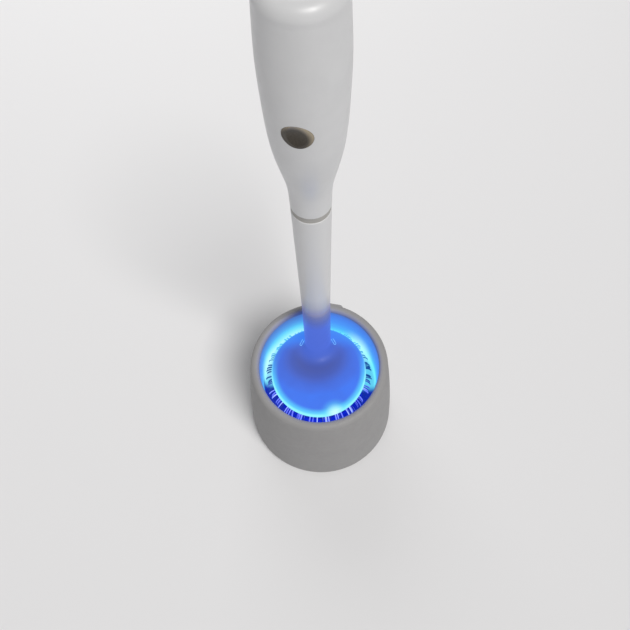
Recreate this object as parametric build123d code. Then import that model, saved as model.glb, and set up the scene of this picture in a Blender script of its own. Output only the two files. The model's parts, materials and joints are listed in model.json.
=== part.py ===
from build123d import *
from math import acos, atan2, cos, degrees, pi, radians, sin, sqrt, tan
import os

# Toothbrush sanitizer: a cup-shaped ultraviolet base with an electric brush standing head down in it.
# The cup holds three lamp chips under a clear window, a lithium pack and a charging board. The brush has
# a round head whose bristle plate is turned by a pinion in an internal ring gear, a long hollow neck with
# the drive shaft inside, and a handle with motor, cell and push button that pulls off the neck.
# Millimetres. Origin on the table under the cup's axis, +Z up, front of the brush (button side) is -Y.

# --- driving dimensions ---------------------------------------------------------------------------------
# cup
RIM_TOP = 72.0          # height of the rim's crest
RIM_R = 38.0            # outer radius of the rim
RIM_ROUND = 3.0         # outer rounding of the rim
BASE_R = 42.9           # outer radius just above the bottom rounding
BELLY_R = 41.1          # outer radius at half height
MOUTH_R = 33.0          # inner edge of the rim
MOUTH_ROUND = 1.9       # rounding of the rim's inner edge
RIM_SEAM = 67.5         # the rim ring meets the outer shell at this height
WALL = 2.4              # outer shell thickness
SHELL_FOOT = 1.0        # the shell's bottom edge stands this far above the table
FLOOR_TOP = 39.0        # floor of the chamber, flush with the window
LINER_WALL = 1.5
LAMP_COUNT = 3
LAMP_R = 17.0           # lamp chips' circle
CUP_TURN = -13.0        # the cup stands turned this many degrees under the brush
LAMP_START = 53.0       # angle of the first lamp chip, degrees from the cup's own +X

# brush head
BRUSH_X = -0.5          # the brush stands a little off the cup's axis
BRUSH_Y = 1.2
HEAD_R = 26.8           # outside of the silicone skin
HEAD_TOP = 59.6         # top face of the round head
SKIN = 1.2              # silicone thickness
SKIRT_TUFTS = 24        # splayed tufts round the plate's edge
MODULE = 0.8            # gear module
PINION_TEETH = 15
RING_TEETH = 57
NECK_Y = MODULE * (RING_TEETH - PINION_TEETH) / 2   # the neck's axis stands behind the head's axis
NECK_R_LOW = 7.35       # neck radius at the silicone sleeve
NECK_R_TOP = 8.5        # neck radius at the joint ring
SLEEVE_TOP = 110.0      # upper end of the silicone sleeve
NECK_TOP = 195.0        # where the neck meets the joint ring
RING_H = 3.6            # joint ring height

# handle
HANDLE_FOOT = NECK_TOP + RING_H
HANDLE_TURN = -12.5     # the handle stands turned this many degrees about the neck's axis
HANDLE_R = 15.2
END_R = 14.4            # radius at the end cap
NOSE_R = NECK_R_TOP + 0.05
SHELL_END = 298.0
HANDLE_END = 304.0
BUTTON_Z = 254.3
BUTTON_R = 5.5
BUTTON_TRAVEL = 0.5
CAVITY_R = 12.2         # inside radius of the handle shell

RUNNING = 0.06          # radial clearance of a shaft in its bush
PARTS = "parts"
os.makedirs(PARTS, exist_ok=True)


# --- small helpers --------------------------------------------------------------------------------------
def cyl(radius, low, high, x=0.0, y=0.0):
    """Upright cylinder between two heights."""
    base = (Align.CENTER, Align.CENTER, Align.MIN)
    return Pos(x, y, low) * Cylinder(radius, high - low, align=base)


def tube(outer, inner, low, high, x=0.0, y=0.0):
    """Upright ring between two heights."""
    return cyl(outer, low, high, x, y) - cyl(inner, low - 1, high + 1, x, y)


def block(x0, x1, y0, y1, z0, z1):
    """Box between two corners."""
    centre = ((x0 + x1) / 2, (y0 + y1) / 2, (z0 + z1) / 2)
    return Pos(*centre) * Box(x1 - x0, y1 - y0, z1 - z0)


def turned(edges):
    """Solid of revolution about Z from edges drawn in the XZ plane."""
    return revolve(make_face(edges), Axis.Z)


def turned_polygon(points):
    """Solid of revolution about Z from straight lines through (radius, height) points."""
    return turned(Polyline(*[(r, 0, z) for r, z in points], close=True))


def around(radius, count, start=0.0):
    """Points equally spaced on a circle, with their angle in degrees."""
    for i in range(count):
        angle = start + 360.0 * i / count
        yield radius * cos(radians(angle)), radius * sin(radians(angle)), angle


def screw(shank_r, head_r, shank_len, head_h):
    """Pan-head screw pointing down, its head's underside at z = 0, with a cross recess."""
    body = cyl(shank_r, -shank_len, 0) + cyl(head_r, 0, head_h)
    slot = head_r * 1.1
    depth = head_h * 0.5
    cross = Box(slot, head_r * 0.25, depth) + Box(head_r * 0.25, slot, depth)
    return body - Pos(0, 0, head_h - depth / 2) * cross


def on_neck(shape):
    """Moves a shape built on the Z axis to the neck's axis."""
    return Pos(0, NECK_Y, 0) * shape


def save(name, shape):
    """Writes one node, with its solids apart where it has several."""
    solids = shape.solids()
    whole = solids[0] if len(solids) == 1 else Compound(children=list(solids))
    export_step(whole, f"{PARTS}/{name}.step")


# --- cup: shells ----------------------------------------------------------------------------------------
BOSS_R = 35.6           # circle of the three screw bosses
BOSS_ANGLE = 30.0
BOSS_TOP = 21.5
PLATE_R = 38.0          # bottom cover
PLATE_TOP = 3.0
USB_Z = 9.6             # centre height of the charging socket
LUG_HALF = 6.0          # half width of the lug on the back of the rim
LIP_UNDER = RIM_TOP - 2.6
BOTTOM_ROUND = 3.0


def cup_solid(inset, low, high):
    """The cup's outer form, drawn inset from the outside, between two heights."""
    foot_z = SHELL_FOOT + BOTTOM_ROUND
    shoulder_z = RIM_TOP - RIM_ROUND
    foot = (BASE_R - inset, 0, foot_z)
    belly = (BELLY_R - inset, 0, (foot_z + shoulder_z) / 2)
    shoulder = (RIM_R - inset, 0, shoulder_z)
    side = ThreePointArc(foot, belly, shoulder)
    top = Polyline(shoulder, (RIM_R - inset, 0, high), (0, 0, high))
    bottom = Polyline((0, 0, low), (BASE_R - inset, 0, low), foot)
    return turned([bottom, side, top, Line((0, 0, high), (0, 0, low))])


def shell_and_rim():
    """Outer shell and rim ring, which meet face to face at the seam."""
    body = cup_solid(0, SHELL_FOOT, RIM_TOP)
    rounded = body.edges().group_by(Axis.Z)
    body = fillet(rounded[-1], RIM_ROUND - 0.05)
    body = fillet(body.edges().group_by(Axis.Z)[0], BOTTOM_ROUND - 0.05)
    # low flat lug above the socket, on the back of the rim
    lug = block(-LUG_HALF, LUG_HALF, RIM_R - 4, RIM_R + 0.6, 60, RIM_TOP - 1.2)
    lug = fillet(lug.edges().filter_by(Axis.Z).group_by(Axis.Y)[-1], 1.6)
    lug = fillet(lug.edges().group_by(Axis.Z)[-1].sort_by(Axis.Y)[-1], 1.0)
    body += lug
    body -= cup_solid(WALL, PLATE_TOP + 0.4, LIP_UNDER)
    body -= cyl(PLATE_R + 0.2, 0, PLATE_TOP + 1)
    body -= cyl(MOUTH_R, LIP_UNDER - 1, RIM_TOP + 1)
    mouth = body.edges().filter_by(GeomType.CIRCLE)
    mouth = mouth.filter_by(lambda e: abs(e.radius - MOUTH_R) < 0.01).sort_by(Axis.Z)[-1]
    body = fillet(mouth, MOUTH_ROUND)
    for x, y, angle in around(BOSS_R, 3, BOSS_ANGLE):
        post = cyl(3.4, PLATE_TOP + 0.2, BOSS_TOP) - cyl(1.05, 0, 14) - cyl(0.8, 15, 30)
        rib = block(3.0, 5.0, -1.2, 1.2, PLATE_TOP + 0.5, BOSS_TOP)
        body += Pos(x, y, 0) * Rot(0, 0, angle) * (post + rib)
    slot = Pos(0, 41, USB_Z) * Rot(90, 0, 0) * extrude(SlotOverall(9.4, 3.6), 5, both=True)
    recess = Pos(0, 42.2, USB_Z) * Rot(90, 0, 0) * extrude(SlotOverall(12.8, 6.8), 0.6, both=True)
    body = body - slot - recess
    above = cyl(BASE_R + 5, RIM_SEAM, RIM_TOP + 5)
    return body - above, body & above


def inner_liner():
    """Chamber cup: drafted wall, flange under the rim's lip, floor with a stepped seat for the window."""
    top = LIP_UNDER - 0.05
    wall_top = MOUTH_R + 0.2
    wall_low = MOUTH_R - 1.2
    floor_low = FLOOR_TOP - 3.0
    outside = [
        (0, floor_low),
        (wall_low + LINER_WALL, floor_low),
        (wall_top + LINER_WALL, top - 1.5),
        (RIM_R - WALL - 0.3, top - 1.5),
        (RIM_R - WALL - 0.3, top),
        (0, top),
    ]
    body = turned_polygon(outside)
    inside = turned_polygon([(0, FLOOR_TOP), (wall_low, FLOOR_TOP), (wall_top, top + 0.01), (0, top + 0.01)])
    inside = fillet(inside.edges().group_by(Axis.Z)[0], 2.5)
    body -= inside
    body -= cyl(22.0, floor_low - 1, FLOOR_TOP + 1)
    return body - cyl(25.0, FLOOR_TOP - 2.0, FLOOR_TOP + 1)


def base_plate():
    plate = cyl(PLATE_R, SHELL_FOOT, PLATE_TOP)
    for x, y in CHARGE_POSTS:
        plate += cyl(2.4, PLATE_TOP - 0.5, CHARGE_Z, x, y)
        plate -= cyl(0.8, PLATE_TOP, CHARGE_Z + 1, x, y)
    for x, y, _ in around(BOSS_R, 3, BOSS_ANGLE):
        plate -= cyl(1.45, 0, 4, x, y)
        plate -= cyl(2.35, 0, SHELL_FOOT + 1.0, x, y)
    return plate - tube(FOOT_R, FOOT_INNER_R, 0, SHELL_FOOT + 0.8)


# --- cup: lamp, power and fasteners ---------------------------------------------------------------------
FOOT_R = 32.0
FOOT_INNER_R = 26.0
CHARGE_Z = 6.4          # underside of the charging board
CHARGE_POSTS = [(-7.5, 22.0), (7.5, 22.0)]
BOARD_T = 1.6
CHASSIS_TOP = BOSS_TOP + 2.0
LAMP_BOARD_Z = 32.0
LAMP_BOARD_TOP = LAMP_BOARD_Z + BOARD_T
STANDOFF_R = 12.0       # circle of the lamp board's screws
LINER_POST_R = 27.5     # circle of the posts that carry the liner
BATTERY = (42.0, 30.0, 8.6)
BATTERY_Z = 11.8
WIRE_HOLE = (11.0, 24.0)
SENSOR_ANGLE = 220.0
SENSOR_R = 18.0
LEAD_GAP = 1.4          # distance between the two wires of a pair


def chassis():
    """Frame on the three bosses: carries the lamp board, the liner and the battery pack."""
    frame = cyl(31.0, BOSS_TOP, CHASSIS_TOP)
    for x, y, angle in around(BOSS_R, 3, BOSS_ANGLE):
        frame += Rot(0, 0, angle) * block(28, BOSS_R, -3.4, 3.4, BOSS_TOP, CHASSIS_TOP)
        frame += cyl(3.4, BOSS_TOP, CHASSIS_TOP, x, y)
        frame -= cyl(1.3, BOSS_TOP - 1, CHASSIS_TOP + 1, x, y)
    for x, y, _ in around(LINER_POST_R, 3, BOSS_ANGLE):
        frame += cyl(2.2, CHASSIS_TOP - 0.5, FLOOR_TOP - 3.0, x, y)
    for x, y, _ in around(STANDOFF_R, 3, LAMP_START + 60):
        frame += cyl(2.6, CHASSIS_TOP - 0.5, LAMP_BOARD_Z, x, y)
        frame -= cyl(0.8, CHASSIS_TOP, LAMP_BOARD_Z + 1, x, y)
    half = BATTERY[0] / 2 + 0.3
    low = BATTERY_Z - 1.8
    for side in (-1, 1):
        wall = block(half, half + 1.6, -12, 12, low, BOSS_TOP + 0.5)
        lip = block(half - 2.0, half + 1.6, -12, 12, low, low + 1.5)
        frame += Rot(0, 0, 90 - 90 * side) * (wall + lip)
    return frame - cyl(2.5, BOSS_TOP - 1, CHASSIS_TOP + 1, *WIRE_HOLE)


def lamp_chip(angle):
    """Ceramic lamp chip with a domed lens, on the lamp board."""
    base = block(-1.8, 1.8, -1.8, 1.8, LAMP_BOARD_TOP, LAMP_BOARD_TOP + 0.8)
    dome = Pos(0, 0, LAMP_BOARD_TOP + 0.7) * Sphere(1.45)
    dome -= block(-3, 3, -3, 3, LAMP_BOARD_TOP - 3, LAMP_BOARD_TOP + 0.4)
    return Rot(0, 0, angle) * Pos(LAMP_R, 0, 0) * (base + dome)


def lamp_board():
    board = cyl(24.0, LAMP_BOARD_Z, LAMP_BOARD_TOP)
    for x, y, _ in around(STANDOFF_R, 3, LAMP_START + 60):
        board -= cyl(1.1, LAMP_BOARD_Z - 1, LAMP_BOARD_TOP + 1, x, y)
    return board


def reflector_ring():
    low = LAMP_BOARD_TOP
    high = FLOOR_TOP - 3.0 - 0.1
    return turned_polygon([(20.6, low), (23.8, low), (23.8, high), (22.2, high)])


def charge_board():
    board = block(-10, 10, 18, 36.5, CHARGE_Z, CHARGE_Z + BOARD_T)
    for x, y in CHARGE_POSTS:
        board -= cyl(1.1, 0, 12, x, y)
    chip = block(-3, 3, 24.5, 29.5, CHARGE_Z + BOARD_T, CHARGE_Z + BOARD_T + 1.0)
    return board + chip


def usb_port():
    outside = extrude(SlotOverall(8.94, 3.2), 7.4)
    inside = extrude(SlotOverall(8.34, 2.6), 6.6)
    shell = outside - Pos(0, 0, 0.8) * inside
    return Pos(0, 34.0, USB_Z) * Rot(-90, 0, 0) * shell


def usb_tongue():
    return block(-3.2, 3.2, 34.8, 40.2, USB_Z - 0.35, USB_Z + 0.35)


def lead_pair(points, gap, radius=0.55, bend=1.6):
    """Two insulated wires side by side along one route."""
    route = FilletPolyline(*points, radius=bend)
    first = sweep(Plane(origin=route @ 0, z_dir=route % 0) * Circle(radius), path=route)
    return Compound(children=[first, Pos(gap, 0, 0) * first])


def at_points(shape, points, height):
    """Copies of one shape at several points of one height."""
    return Compound(children=[Pos(x, y, height) * shape for x, y in points])


def save_cup_part(name, shape):
    """Writes a part of the cup, which stands turned under the brush."""
    save(name, Rot(0, 0, CUP_TURN) * shape)


def save_cup():
    shell, rim = shell_and_rim()
    save_cup_part("outer_shell", shell)
    save_cup_part("rim_ring", rim)
    save_cup_part("inner_liner", inner_liner())
    save_cup_part("uv_window", cyl(24.9, FLOOR_TOP - 1.4, FLOOR_TOP))
    save_cup_part("window_gasket", tube(24.7, 22.6, FLOOR_TOP - 2.0, FLOOR_TOP - 1.4))
    save_cup_part("reflector_ring", reflector_ring())
    save_cup_part("lamp_board", lamp_board())
    for i, (_, _, angle) in enumerate(around(LAMP_R, LAMP_COUNT, LAMP_START), 1):
        save_cup_part(f"uv_lamp_{i}", lamp_chip(angle))
    sensor = block(-1.6, 1.6, -1.0, 1.0, LAMP_BOARD_TOP, LAMP_BOARD_TOP + 1.2)
    save_cup_part("hall_sensor", Rot(0, 0, SENSOR_ANGLE - CUP_TURN) * Pos(SENSOR_R, 0, 0) * sensor)
    save_cup_part("chassis", chassis())
    pack = Pos(0, 0, BATTERY_Z + BATTERY[2] / 2) * Box(*BATTERY)
    save_cup_part("battery_pack", fillet(pack.edges().filter_by(Axis.X), 2.5))
    save_cup_part("charge_board", charge_board())
    save_cup_part("usb_port", usb_port())
    save_cup_part("usb_tongue", usb_tongue())
    save_cup_part("base_plate", base_plate())
    save_cup_part("foot_ring", tube(FOOT_R, FOOT_INNER_R, 0, SHELL_FOOT + 0.8))
    up = Rot(180, 0, 0) * screw(1.05, 2.25, 9.0, 1.0)
    down = screw(0.8, 1.9, 5.0, 1.3)
    short = screw(0.8, 1.9, 3.0, 1.2)
    bosses = [(x, y) for x, y, _ in around(BOSS_R, 3, BOSS_ANGLE)]
    standoffs = [(x, y) for x, y, _ in around(STANDOFF_R, 3, LAMP_START + 60)]
    save_cup_part("base_screws", at_points(up, bosses, SHELL_FOOT + 1.0))
    save_cup_part("chassis_screws", at_points(down, bosses, CHASSIS_TOP))
    save_cup_part("lamp_board_screws", at_points(down, standoffs, LAMP_BOARD_TOP))
    save_cup_part("charge_board_screws", at_points(short, CHARGE_POSTS, CHARGE_Z + BOARD_T))
    board_top = CHARGE_Z + BOARD_T
    x = -3.0
    route = [(x, 15.0, 16.0), (x, 18.5, 16.0), (x, 20.5, 12.5), (x, 20.5, board_top)]
    save_cup_part("battery_leads", lead_pair(route, LEAD_GAP))
    x, y = WIRE_HOLE
    x -= LEAD_GAP / 2
    route = [(x - 3, y + 4, board_top), (x - 3, y + 4, 12), (x, y, 16), (x, y, 27), (x, 19, 29.5)]
    save_cup_part("lamp_leads", lead_pair(route + [(x, 19, LAMP_BOARD_Z)], LEAD_GAP))


# --- brush head -----------------------------------------------------------------------------------------
CORE_TOP = HEAD_TOP - SKIN
CORE_LOW = 56.2
CORE_R = HEAD_R - SKIN
ROTOR_TOP = CORE_LOW - 0.3
ROTOR_LOW = 50.6
ROTOR_R = 26.0
RECESS_FLOOR = 52.4
MAGNET_LOW = CORE_LOW + 0.2
MAGNET_TOP = MAGNET_LOW + 1.4
MAGNET_R = 3.0
LOWER_BUSH_TOP = 62.0
RING_GEAR_R = 24.0
SHAFT_R = 1.5
TUFT_R = 1.05
TUFT_LOW = FLOOR_TOP + 0.5
TUBE_R_IN_SLEEVE = NECK_R_LOW - SKIN + 0.1
SOCKET_LOW = 172.0      # lower end of the drive shaft's socket
SOCKET_TOP = 187.5
OUTPUT_R = 2.0
OUTPUT_FLAT = 1.4       # distance of the D flat from the axis
FLAT_PLAY = 0.08
BORE_TOP = 189.0
UPPER_BUSH = (163.0, 168.0)
FLARE = 4.0             # rounding between the neck and the head's top


def involute(angle):
    """Involute function of an angle in radians."""
    return tan(angle) - angle


def gear_outline(teeth, root_r, tip_r, play):
    """Closed outline of an external spur gear with its first tooth on +Y; play widens the teeth."""
    pressure = radians(20)
    pitch_r = MODULE * teeth / 2
    base_r = pitch_r * cos(pressure)
    half_pitch = pi / (2 * teeth) + play / (2 * pitch_r)

    def half_angle(r):
        if r <= base_r:
            return half_pitch + involute(pressure)
        return half_pitch + involute(pressure) - involute(acos(base_r / r))

    steps = [root_r, max(base_r, root_r + 0.05), pitch_r, (pitch_r + tip_r) / 2, tip_r]
    radii = sorted(set(round(r, 4) for r in steps))
    points = []
    for i in range(teeth):
        centre = pi / 2 + 2 * pi * i / teeth
        rising = [(r, centre - half_angle(r)) for r in radii]
        falling = [(r, centre + half_angle(r)) for r in reversed(radii)]
        points += [(r * cos(a), r * sin(a)) for r, a in rising + falling]
    return make_face(Polyline(*points, close=True))


def pinion():
    pitch_r = MODULE * PINION_TEETH / 2
    face = gear_outline(PINION_TEETH, pitch_r - 1.25 * MODULE, pitch_r + 0.7 * MODULE, -0.16)
    gear = Pos(0, 0, RECESS_FLOOR + 0.4) * extrude(face, 2.6)
    return on_neck(gear - cyl(SHAFT_R, 40, 60))


def ring_gear():
    pitch_r = MODULE * RING_TEETH / 2
    spaces = gear_outline(RING_TEETH, pitch_r - 0.7 * MODULE, pitch_r + 1.15 * MODULE, 0.16)
    low = RECESS_FLOOR + 0.1
    gear = cyl(RING_GEAR_R, low, ROTOR_TOP - 0.2)
    return gear - Pos(0, 0, low - 1) * extrude(spaces, 6)


def bristle_plate():
    plate = cyl(ROTOR_R, ROTOR_LOW, ROTOR_TOP)
    plate = fillet(plate.edges().group_by(Axis.Z)[0], 0.8)
    plate -= cyl(RING_GEAR_R, RECESS_FLOOR, ROTOR_TOP + 1)
    plate += cyl(3.8, RECESS_FLOOR - 0.2, ROTOR_TOP)
    plate -= cyl(2.5, ROTOR_LOW + 1.0, ROTOR_TOP + 1)
    return plate - cyl(3.1, ROTOR_LOW - 1, ROTOR_LOW + 1.0)


def skirt_tufts(plate):
    """Tufts that leave the plate's edge outward and slightly down, towards the chamber wall."""
    root_r, root_z = ROTOR_R - 0.6, ROTOR_TOP - 1.3
    tip_r, tip_z = HEAD_R + 2.7, ROTOR_LOW - 0.4
    length = sqrt((tip_r - root_r) ** 2 + (root_z - tip_z) ** 2)
    tilt = degrees(atan2(tip_r - root_r, tip_z - root_z))
    tuft = Rot(0, tilt, 0) * Pos(0, 0, length / 2) * Cone(0.8, 1.15, length)
    tufts = []
    for _, _, angle in around(1, SKIRT_TUFTS, 360 / SKIRT_TUFTS / 2):
        tufts.append(Rot(0, 0, angle) * Pos(root_r, 0, root_z) * tuft - plate)
    return Compound(children=tufts)


def upright_tufts(radius, count):
    """Ring of tufts that stand straight down from the plate."""
    return Compound(children=[cyl(TUFT_R, TUFT_LOW, ROTOR_LOW, x, y) for x, y, _ in around(radius, count)])


def at_magnet(shape):
    """Moves a shape built on the Z axis over the cup's sensor."""
    return Rot(0, 0, SENSOR_ANGLE) * Pos(SENSOR_R, 0, 0) * shape


def head_core():
    core = cyl(CORE_R, CORE_LOW, CORE_TOP)
    core -= cyl(SHAFT_R, CORE_LOW - 1, CORE_TOP - 0.4)
    core -= cyl(TUBE_R_IN_SLEEVE, CORE_LOW - 1, CORE_TOP + 1, 0, NECK_Y)
    return core - at_magnet(cyl(MAGNET_R, MAGNET_LOW, MAGNET_TOP))


def neck_tube():
    """Hollow neck: thin inside the silicone sleeve, full size above it, stepped bore for shaft and bushes."""
    thin_r = TUBE_R_IN_SLEEVE
    outside = [
        (0, CORE_LOW + 0.2),
        (thin_r, CORE_LOW + 0.2),
        (thin_r, SLEEVE_TOP),
        (NECK_R_LOW, SLEEVE_TOP),
        (NECK_R_TOP, NECK_TOP),
        (0, NECK_TOP),
    ]
    body = turned_polygon(outside)
    body = fillet(body.edges().filter_by(GeomType.CIRCLE).group_by(Axis.Z)[-1], 0.4)
    body -= cyl(3.4, 0, LOWER_BUSH_TOP)
    body -= cyl(2.4, LOWER_BUSH_TOP - 1, UPPER_BUSH[0])
    body -= cyl(3.4, UPPER_BUSH[0], BORE_TOP + 0.5)
    body -= cyl(5.1, BORE_TOP, NECK_TOP + 1)
    return on_neck(body)


def head_skin():
    """Silicone skin over the round head and the lower neck."""
    disc = cyl(HEAD_R, CORE_LOW - 0.1, HEAD_TOP)
    disc = fillet(disc.edges().group_by(Axis.Z)[-1], 1.9)
    skin = disc + cyl(NECK_R_LOW, HEAD_TOP - 0.5, SLEEVE_TOP, 0, NECK_Y)
    foot = (NECK_R_LOW + FLARE, 0, HEAD_TOP - 0.01)
    middle = (NECK_R_LOW + FLARE * (1 - sqrt(0.5)), 0, HEAD_TOP + FLARE * (1 - sqrt(0.5)))
    top = (NECK_R_LOW, 0, HEAD_TOP + FLARE)
    rest = Polyline(top, (0, 0, HEAD_TOP + FLARE), (0, 0, HEAD_TOP - 0.01), foot)
    flare = on_neck(turned([ThreePointArc(foot, middle, top), rest]))
    skin += flare & cyl(HEAD_R - 2.0, HEAD_TOP - 1, SLEEVE_TOP)
    skin -= cyl(CORE_R, CORE_LOW - 1, CORE_TOP)
    return skin - cyl(TUBE_R_IN_SLEEVE, CORE_LOW - 1, SLEEVE_TOP + 1, 0, NECK_Y)


def rotor_axle():
    shank = cyl(SHAFT_R, ROTOR_LOW + 0.8, CORE_TOP - 0.4)
    head = cyl(2.9, ROTOR_LOW + 0.2, ROTOR_LOW + 0.8)
    return shank + head - block(-2.2, 2.2, -0.3, 0.3, ROTOR_LOW, ROTOR_LOW + 0.45)


def drive_shaft():
    """Steel shaft down the neck, with the D socket that takes the motor's shaft."""
    shaft = cyl(SHAFT_R, RECESS_FLOOR + 0.3, SOCKET_LOW + 1)
    socket = cyl(3.0, SOCKET_LOW, SOCKET_TOP)
    socket -= d_bar(OUTPUT_R + FLAT_PLAY, OUTPUT_FLAT + FLAT_PLAY, SOCKET_LOW + 1.5, SOCKET_TOP + 1)
    return on_neck(shaft + socket)


def d_bar(radius, flat, low, high):
    """Round bar with one flat on its +X side."""
    return cyl(radius, low, high) - block(flat, radius + 1, -radius - 1, radius + 1, low - 1, high + 1)


def save_brush_part(name, shape):
    """Writes a part of the brush, which stands a little off the cup's axis."""
    save(name, Pos(BRUSH_X, BRUSH_Y, 0) * shape)


def save_head():
    plate = bristle_plate()
    save_brush_part("head_core", head_core())
    save_brush_part("neck_tube", neck_tube())
    save_brush_part("head_skin", head_skin())
    save_brush_part("head_magnet", at_magnet(cyl(MAGNET_R, MAGNET_LOW, MAGNET_TOP)))
    save_brush_part("rotor_axle", rotor_axle())
    save_brush_part("neck_ring", on_neck(tube(NECK_R_TOP - 0.3, 5.1, NECK_TOP, HANDLE_FOOT)))
    save_brush_part("lower_neck_bush", on_neck(tube(3.4, SHAFT_R + RUNNING, CORE_LOW + 0.4, LOWER_BUSH_TOP)))
    save_brush_part("upper_neck_bush", on_neck(tube(3.4, SHAFT_R + RUNNING, *UPPER_BUSH)))
    save_brush_part("bristle_plate", plate)
    save_brush_part("ring_gear", ring_gear())
    save_brush_part("rotor_bush", tube(2.5, SHAFT_R + RUNNING, ROTOR_LOW + 1.0, ROTOR_TOP))
    save_brush_part("skirt_tufts", skirt_tufts(plate))
    save_brush_part("outer_tufts", upright_tufts(21.0, 22))
    save_brush_part("middle_tufts", upright_tufts(15.0, 15))
    save_brush_part("inner_tufts", upright_tufts(8.5, 8))
    save_brush_part("drive_shaft", drive_shaft())
    save_brush_part("drive_pinion", pinion())


# --- handle ---------------------------------------------------------------------------------------------
NOSE_SEAL = (HANDLE_FOOT + 3.0, HANDLE_FOOT + 6.0)
NOSE_BUSH = (HANDLE_FOOT + 7.0, HANDLE_FOOT + 15.0)
CELL_R = 7.0
CELL_Y = 2.5            # the cell sits this far behind the handle's axis
CELL_LOW = 260.0
CELL_HIGH = 290.0
MOTOR_LOW = 236.0
MOTOR_HIGH = 258.0
MOTOR_R = 7.5
BOARD_BACK = -7.7       # control board, measured in front of the handle's axis
BOARD_FRONT = -8.9
CARRIER_TOP = 292.0
BOARD_SCREW_Z = (261.8, 288.6)
BUTTON_BACK = -CAVITY_R - 0.15
BUTTON_FRONT = -14.8    # front of the grip at the button's height
SEAL_GROOVE = (BUTTON_BACK - 0.65, BUTTON_BACK - 0.15)
SEAL_INNER_R = BUTTON_R - 0.7
CAP_SEAL = (294.6, 296.0)
CAP_SEAL_INNER_R = CAVITY_R - 0.8


def handle_form():
    """Outer form of the handle: slim nose, shoulder, round grip."""
    side = Spline(
        (NOSE_R, 0, HANDLE_FOOT),
        (9.1, 0, 211.5),
        (11.3, 0, 223.5),
        (13.4, 0, 235.5),
        (14.6, 0, 250.0),
        (HANDLE_R, 0, 268.0),
        (END_R, 0, SHELL_END),
        tangents=[(0.02, 0, 1), (-0.05, 0, 1)],
    )
    rest = Polyline((END_R, 0, SHELL_END), (0, 0, SHELL_END), (0, 0, HANDLE_FOOT), (NOSE_R, 0, HANDLE_FOOT))
    return turned([side, rest])


def button_bar(radius, back, front):
    """Bar along Y through the button's centre."""
    return Pos(0, (back + front) / 2, BUTTON_Z) * Rot(90, 0, 0) * Cylinder(radius, abs(front - back))


def button_groove(outer_r):
    """Ring that fills the seal groove round the button, out to that radius."""
    return button_bar(outer_r, *SEAL_GROOVE) - button_bar(SEAL_INNER_R, BUTTON_BACK, BUTTON_BACK - 2)


def handle_shell(form):
    body = form + tube(5.0, 3.2, BORE_TOP + 0.3, HANDLE_FOOT + 0.5)
    bush_top = NOSE_BUSH[1]
    top = SHELL_END + 1
    body -= turned_polygon([(0, bush_top), (3.9, bush_top), (CAVITY_R, 238), (CAVITY_R, top), (0, top)])
    body -= cyl(3.9, NOSE_SEAL[0], bush_top + 1)
    body -= cyl(3.2, BORE_TOP, NOSE_SEAL[0] + 1)
    return body - button_bar(BUTTON_R + 0.12, 0, -20)


def power_button(form):
    """Round button that follows the grip's surface, with a shallow thumb dish and a seal groove."""
    body = button_bar(BUTTON_R, BUTTON_BACK, -20) & form
    dish_r = 15.0
    body -= Pos(0, BUTTON_FRONT - dish_r + 0.9, BUTTON_Z) * Sphere(dish_r)
    return body - button_groove(BUTTON_R + 1)


def carrier():
    """Cradle that holds motor, cell and control board and slides into the handle from its end."""
    body = cyl(CAVITY_R - 0.3, 239.0, CARRIER_TOP)
    body -= cyl(MOTOR_R, 230, MOTOR_HIGH)
    body -= cyl(CELL_R, CELL_LOW, CELL_HIGH, 0, CELL_Y)
    wide = CAVITY_R + 1
    body -= block(-wide, wide, -wide, BOARD_BACK, 230, 300)
    body -= block(-wide, wide, -wide, -1.0, 230, MOTOR_HIGH - 1.0)
    body -= block(-wide, wide, -wide, 0.0, CELL_LOW + 3.5, CELL_HIGH - 4.0)
    for z in BOARD_SCREW_Z:
        body -= Pos(0, BOARD_BACK + 2, z) * Rot(90, 0, 0) * Cylinder(0.7, 4.4)
    return body


def control_board():
    board = block(-6, 6, BOARD_FRONT, BOARD_BACK, 240, 290.5)
    for z in BOARD_SCREW_Z:
        board -= Pos(0, BOARD_BACK, z) * Rot(90, 0, 0) * Cylinder(0.9, 6)
    chip = block(-2.5, 2.5, BOARD_FRONT - 0.9, BOARD_FRONT, 268, 273)
    return board + chip


def tact_switch():
    body = block(-2.5, 2.5, BOARD_FRONT - 1.4, BOARD_FRONT, BUTTON_Z - 2.5, BUTTON_Z + 2.5)
    return body - button_bar(1.28, BOARD_FRONT - 0.3, BOARD_FRONT - 2)


def motor():
    can = cyl(MOTOR_R, MOTOR_LOW, MOTOR_HIGH)
    can = fillet(can.edges().group_by(Axis.Z)[-1], 0.8)
    can += cyl(3.4, MOTOR_LOW - 1.6, MOTOR_LOW)
    return can - cyl(OUTPUT_R + RUNNING, MOTOR_LOW - 5, 255.5)


def output_shaft():
    flat_part = d_bar(OUTPUT_R, OUTPUT_FLAT, SOCKET_LOW + 2.0, HANDLE_FOOT)
    return on_neck(flat_part + cyl(OUTPUT_R, HANDLE_FOOT, 255.0))


def end_cap():
    cap = cyl(END_R, SHELL_END, HANDLE_END)
    cap = fillet(cap.edges().group_by(Axis.Z)[-1], 4.5)
    cap += tube(CAVITY_R - 0.1, CAVITY_R - 2.0, CARRIER_TOP + 0.5, SHELL_END + 0.5)
    return cap - tube(CAVITY_R + 1, CAP_SEAL_INNER_R, *CAP_SEAL)


def board_screws():
    one = screw(0.7, 1.5, 3.6, 0.9)
    laid = [Pos(0, BOARD_FRONT, z) * Rot(90, 0, 0) * one for z in BOARD_SCREW_Z]
    return Compound(children=laid)


def save_handle_part(name, shape):
    """Writes a part of the handle, built on the Z axis and facing -Y."""
    turned_shape = Rot(0, 0, HANDLE_TURN) * shape
    save_brush_part(name, on_neck(turned_shape))


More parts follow.
